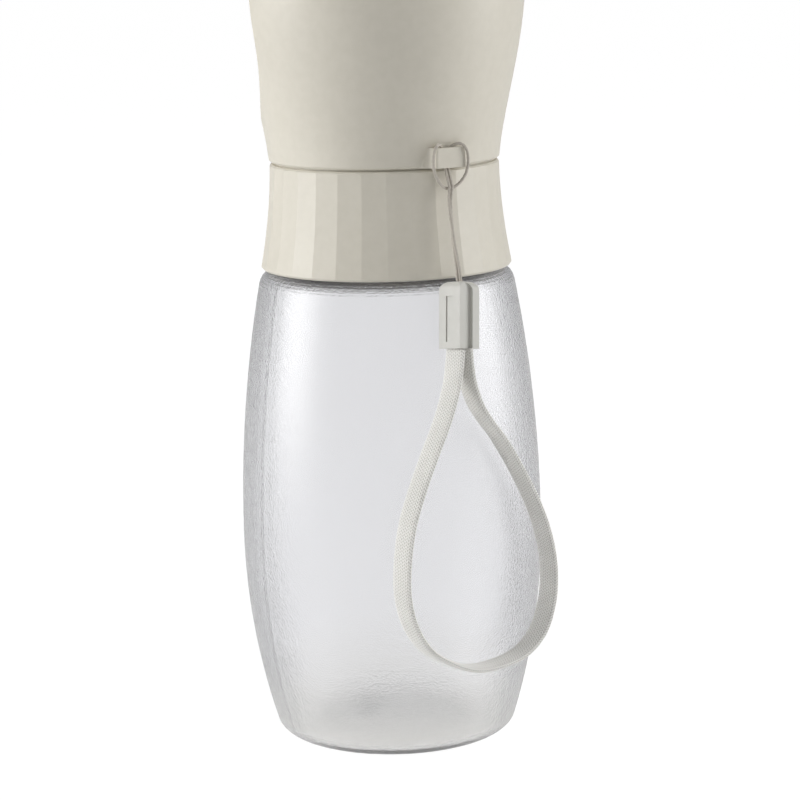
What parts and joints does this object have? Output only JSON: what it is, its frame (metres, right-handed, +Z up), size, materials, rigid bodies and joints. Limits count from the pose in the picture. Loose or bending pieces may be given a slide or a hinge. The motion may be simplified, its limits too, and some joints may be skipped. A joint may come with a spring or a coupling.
{
  "type": "dog travel water bottle",
  "caption": "Clear squeeze-shaped water bottle with a screw collar and a scoop-shaped drinking trough head, a push valve with button and lock, and a wrist strap",
  "frame": {"origin": "centre of the base on the bottle's axis, at the lowest point", "axes": "+Z up along the bottle's axis, -Y is the drinking side with the button and +Y the side with the strap, +X is the right hand when looking at the drinking side"},
  "size_m": [0.0742, 0.0851, 0.2322],
  "materials": {
    "bottle_clear": "clear plastic with a fine pebbled grain",
    "shell_cream": "satin moulded plastic, warm cream",
    "inner_white": "plain moulded plastic",
    "button_warm": "fine satin moulded plastic",
    "seal_white": "soft silicone",
    "seal_dark": "soft rubber",
    "steel": "stainless steel",
    "string_beige": "thin twisted string",
    "bead_grey": "matte moulded plastic",
    "strap_knit": "flat knitted ribbon"
  },
  "bodies": {
    "bottle_body": {"bottle": "bottle_clear"},
    "seal_body": {"neck_gasket": "seal_white"},
    "head_body": {"screw_collar": "shell_cream", "head_shell": "shell_cream", "front_panel": "shell_cream", "trough": "shell_cream", "valve_body": "inner_white", "riser_seal": "seal_dark", "outlet_seal": "seal_white", "valve_screws": "steel", "end_cap": "inner_white", "end_cap_seal": "seal_dark", "stem_seal": "seal_dark", "valve_spring": "steel", "string_hitch": "string_beige"},
    "button_body": {"push_button": "button_warm", "valve_stem": "steel", "stem_collar": "inner_white", "valve_disc": "seal_dark"},
    "lock_body": {"lock_slider": "button_warm"},
    "lanyard_body": {"string_strands": "string_beige", "bead_shell": "bead_grey", "bead_core": "bead_grey", "wrist_strap": "strap_knit"}
  },
  "joints": [
    {"name": "cap_turn", "type": "hinge", "parent": "seal_body", "child": "head_body", "pos_m": [0, 0, 0.14], "axis": [0, 0, 1], "range_deg": [0, 720]},
    {"name": "cap_lift", "type": "slide", "parent": "bottle_body", "child": "seal_body", "axis": [0, 0, 1], "range_m": [0, 0.008]},
    {"name": "button_press", "type": "slide", "parent": "head_body", "child": "button_body", "axis": [0, 1, 0], "range_m": [0, 0.0035], "stiffness_N_per_m": 600, "springref_m": -0.003, "deforming": ["valve_spring"]},
    {"name": "lock_slide", "type": "slide", "parent": "head_body", "child": "lock_body", "axis": [1, 0, 0], "range_m": [0, 0.006]},
    {"name": "lanyard_swing", "type": "hinge", "parent": "head_body", "child": "lanyard_body", "pos_m": [0.0008, 0.03105, 0.1377], "axis": [1, 0, 0], "range_deg": [0, 70]}
  ],
  "couplings": [
    {"joint": "cap_turn", "follows": "cap_lift", "rad_per_m": 1570.8}
  ]
}
